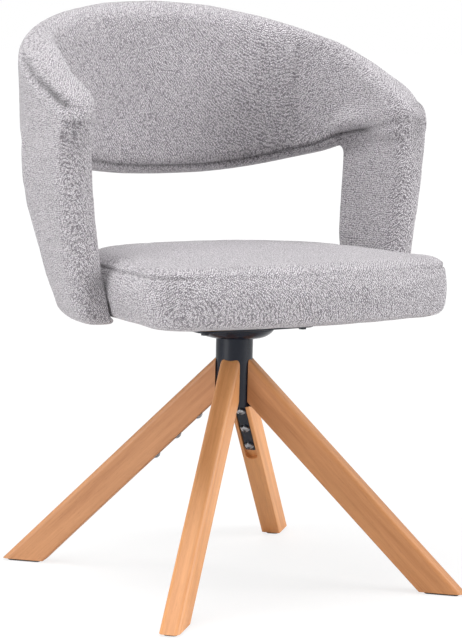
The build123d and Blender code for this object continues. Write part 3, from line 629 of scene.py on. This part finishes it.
# rings from the middle of the underside, out round the edge and back to the middle of the top; shrink
# makes the whole block that much smaller all round
def seatForm(shrink):
    px, py = seatPlan()
    middle = (seat["frontY"] + seat["backY"]) / 2
    a = np.linspace(0, np.pi / 2, 10)
    low, high = seat["under"] * (1 - np.cos(a)), seat["thick"] - seat["top"] * (1 - np.sin(a))
    height = np.concatenate([low, np.linspace(low[-1], high[0], 12)[1:-1], high])
    inset = edgeInset(height) + shrink
    height = shrink + height * (1 - 2 * shrink / seat["thick"])
    towards = np.linspace(0.2, 1, 9)[:-1]
    scale = np.concatenate([towards, np.ones(len(inset)), towards[::-1]])[:, None]
    insets = np.concatenate([np.full(8, inset[0]), inset, np.full(8, inset[-1])])[:, None]
    rise = np.concatenate([np.full(8, height[0]), height, np.full(8, height[-1])])[:, None]
    reach = np.hypot(px, py - middle)
    factor = (1 - insets / reach) * scale
    x, y = px * factor, middle + (py - middle) * factor
    z = rise + seat["crown"] * np.clip(1 - (np.hypot(x, y) / 0.235) ** 2, 0, 1) * (rise > height[-1] * 0.95)
    tilt = math.radians(-seat["tilt"])
    return np.stack([x, y * math.cos(tilt) - z * math.sin(tilt),
                     y * math.sin(tilt) + z * math.cos(tilt) + seat["base"]], -1)


# the seam round the top panel: a shallow groove with a low lip over it, at one height under the edge; the groove is
# also stored as painted shade that darkens the fabric there
def pressSeam(obj):
    co, no = points(obj), normals(obj)
    s = seatLevel(co[:, 1], co[:, 2]) - (seat["thick"] - seat["seamDrop"])
    side = ramp(np.hypot(no[:, 0], no[:, 1]), 0.15, 0.4)
    side *= 0.30 + 0.70 * ramp(np.abs(co[:, 0]), 0.17, 0.212)
    groove = bell(s, 0.0022) - 0.6 * bell(s - 0.0045, 0.0028)
    setPoints(obj, co - no * (seat["seamDepth"] * groove * side)[:, None])
    # painted shade: the groove's weight darkens the fabric colour along the seam
    keepPaintedShade(obj, 0.4 * bell(s, 0.0022) * side)


print("seat")
cushion = skinFromGrid("seatCushion", seatForm(0.0002))
remesh(cushion, 0.0045)
relax(cushion, 2)
puff(cushion, 3.0, 0.0015, 14)
subdivide(cushion)
pressSeam(cushion)
smoothShade(cushion)
paint(cushion, greyWeave)
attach(cushion, "seat")
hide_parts("seat_cushion")


# ---- floor, light and camera --------------------------------------

print("floor, light and camera")
studio = dict(floor=0.86, glow=0.76, fade=(0.7, 2.2), white=1.04, world=0.10, key=69.0, fill=152.0, top=112.0)

floorMat, ns, ln, bsdf = newMaterial("studioFloor")
bsdf.inputs["Base Color"].default_value = (studio["floor"],) * 3 + (1,)
bsdf.inputs["Roughness"].default_value = 0.9
ray = add(ns, "ShaderNodeLightPath")
glow = add(ns, "ShaderNodeEmission", Strength=studio["white"])
mixed = add(ns, "ShaderNodeMixShader")
seen = add(ns, "ShaderNodeMath", operation="MULTIPLY")
spot = add(ns, "ShaderNodeTexCoord")
away = add(ns, "ShaderNodeVectorMath", operation="LENGTH")
fade = add(ns, "ShaderNodeMapRange")  # the floor turns plain white away from the chair
ln.new(spot.outputs["Object"], away.inputs[0])
ln.new(away.outputs["Value"], fade.inputs["Value"])
fade.inputs["From Min"].default_value, fade.inputs["From Max"].default_value = studio["fade"]
fade.inputs["To Min"].default_value, fade.inputs["To Max"].default_value = studio["glow"], 1.0
ln.new(fade.outputs["Result"], seen.inputs[1])
ln.new(ray.outputs["Is Camera Ray"], seen.inputs[0])
ln.new(seen.outputs[0], mixed.inputs[0])
ln.new(bsdf.outputs[0], mixed.inputs[1])
ln.new(glow.outputs[0], mixed.inputs[2])
ln.new(mixed.outputs[0], ns["Material Output"].inputs[0])
floor = meshObject("floor", [(-30, -30, 0), (30, -30, 0), (30, 30, 0), (-30, 30, 0)], [(0, 1, 2, 3)])
paint(floor, floorMat)

world = bpy.data.worlds.new("studio")
scene.world = world
world.use_nodes = True
wn, wl = world.node_tree.nodes, world.node_tree.links
backdrop = wn["Background"]
backdrop.inputs["Color"].default_value = (1, 1, 1, 1)
path = add(wn, "ShaderNodeLightPath")
seenAs = add(wn, "ShaderNodeMath", operation="MAXIMUM")
wl.new(path.outputs["Is Camera Ray"], seenAs.inputs[0])
wl.new(path.outputs["Is Glossy Ray"], seenAs.inputs[1])
strength = add(wn, "ShaderNodeMath", operation="MAXIMUM")
wl.new(seenAs.outputs[0], strength.inputs[0])
strength.inputs[1].default_value = studio["world"]
wl.new(strength.outputs[0], backdrop.inputs["Strength"])


def softbox(name, place, target, size, power):
    lamp = bpy.data.lights.new(name, "AREA")
    lamp.shape = "SQUARE"
    lamp.size = size
    lamp.energy = power
    obj = bpy.data.objects.new(name, lamp)
    scene.collection.objects.link(obj)
    obj.location = place
    obj.rotation_euler = (Vector(target) - Vector(place)).to_track_quat("-Z", "Y").to_euler()
    return obj


softbox("keyLight", (-3.2, -0.3, 0.95), (0, 0, 0.5), 1.7, studio["key"])
softbox("fillLight", (2.8, -2.4, 1.7), (0, 0, 0.5), 2.2, studio["fill"])
softbox("topLight", (-0.6, -0.1, 3.2), (0, 0, 0.5), 2.2, studio["top"])

lens = dict(place=(-1.64716, -2.65211, 0.78792), right=(0.851853, -0.523276, 0.023004),
            up=(0.051658, 0.127637, 0.990475), back=(-0.521227, -0.842550, 0.135760), focal=129.236)
camData = bpy.data.cameras.new("camera")
camData.sensor_width = 36
camData.lens = lens["focal"]
camera = bpy.data.objects.new("camera", camData)
scene.collection.objects.link(camera)
turned = Matrix([lens["right"], lens["up"], lens["back"]]).transposed().to_4x4()
camera.matrix_world = Matrix.Translation(lens["place"]) @ turned
scene.camera = camera
scene.view_settings.view_transform = "Standard"
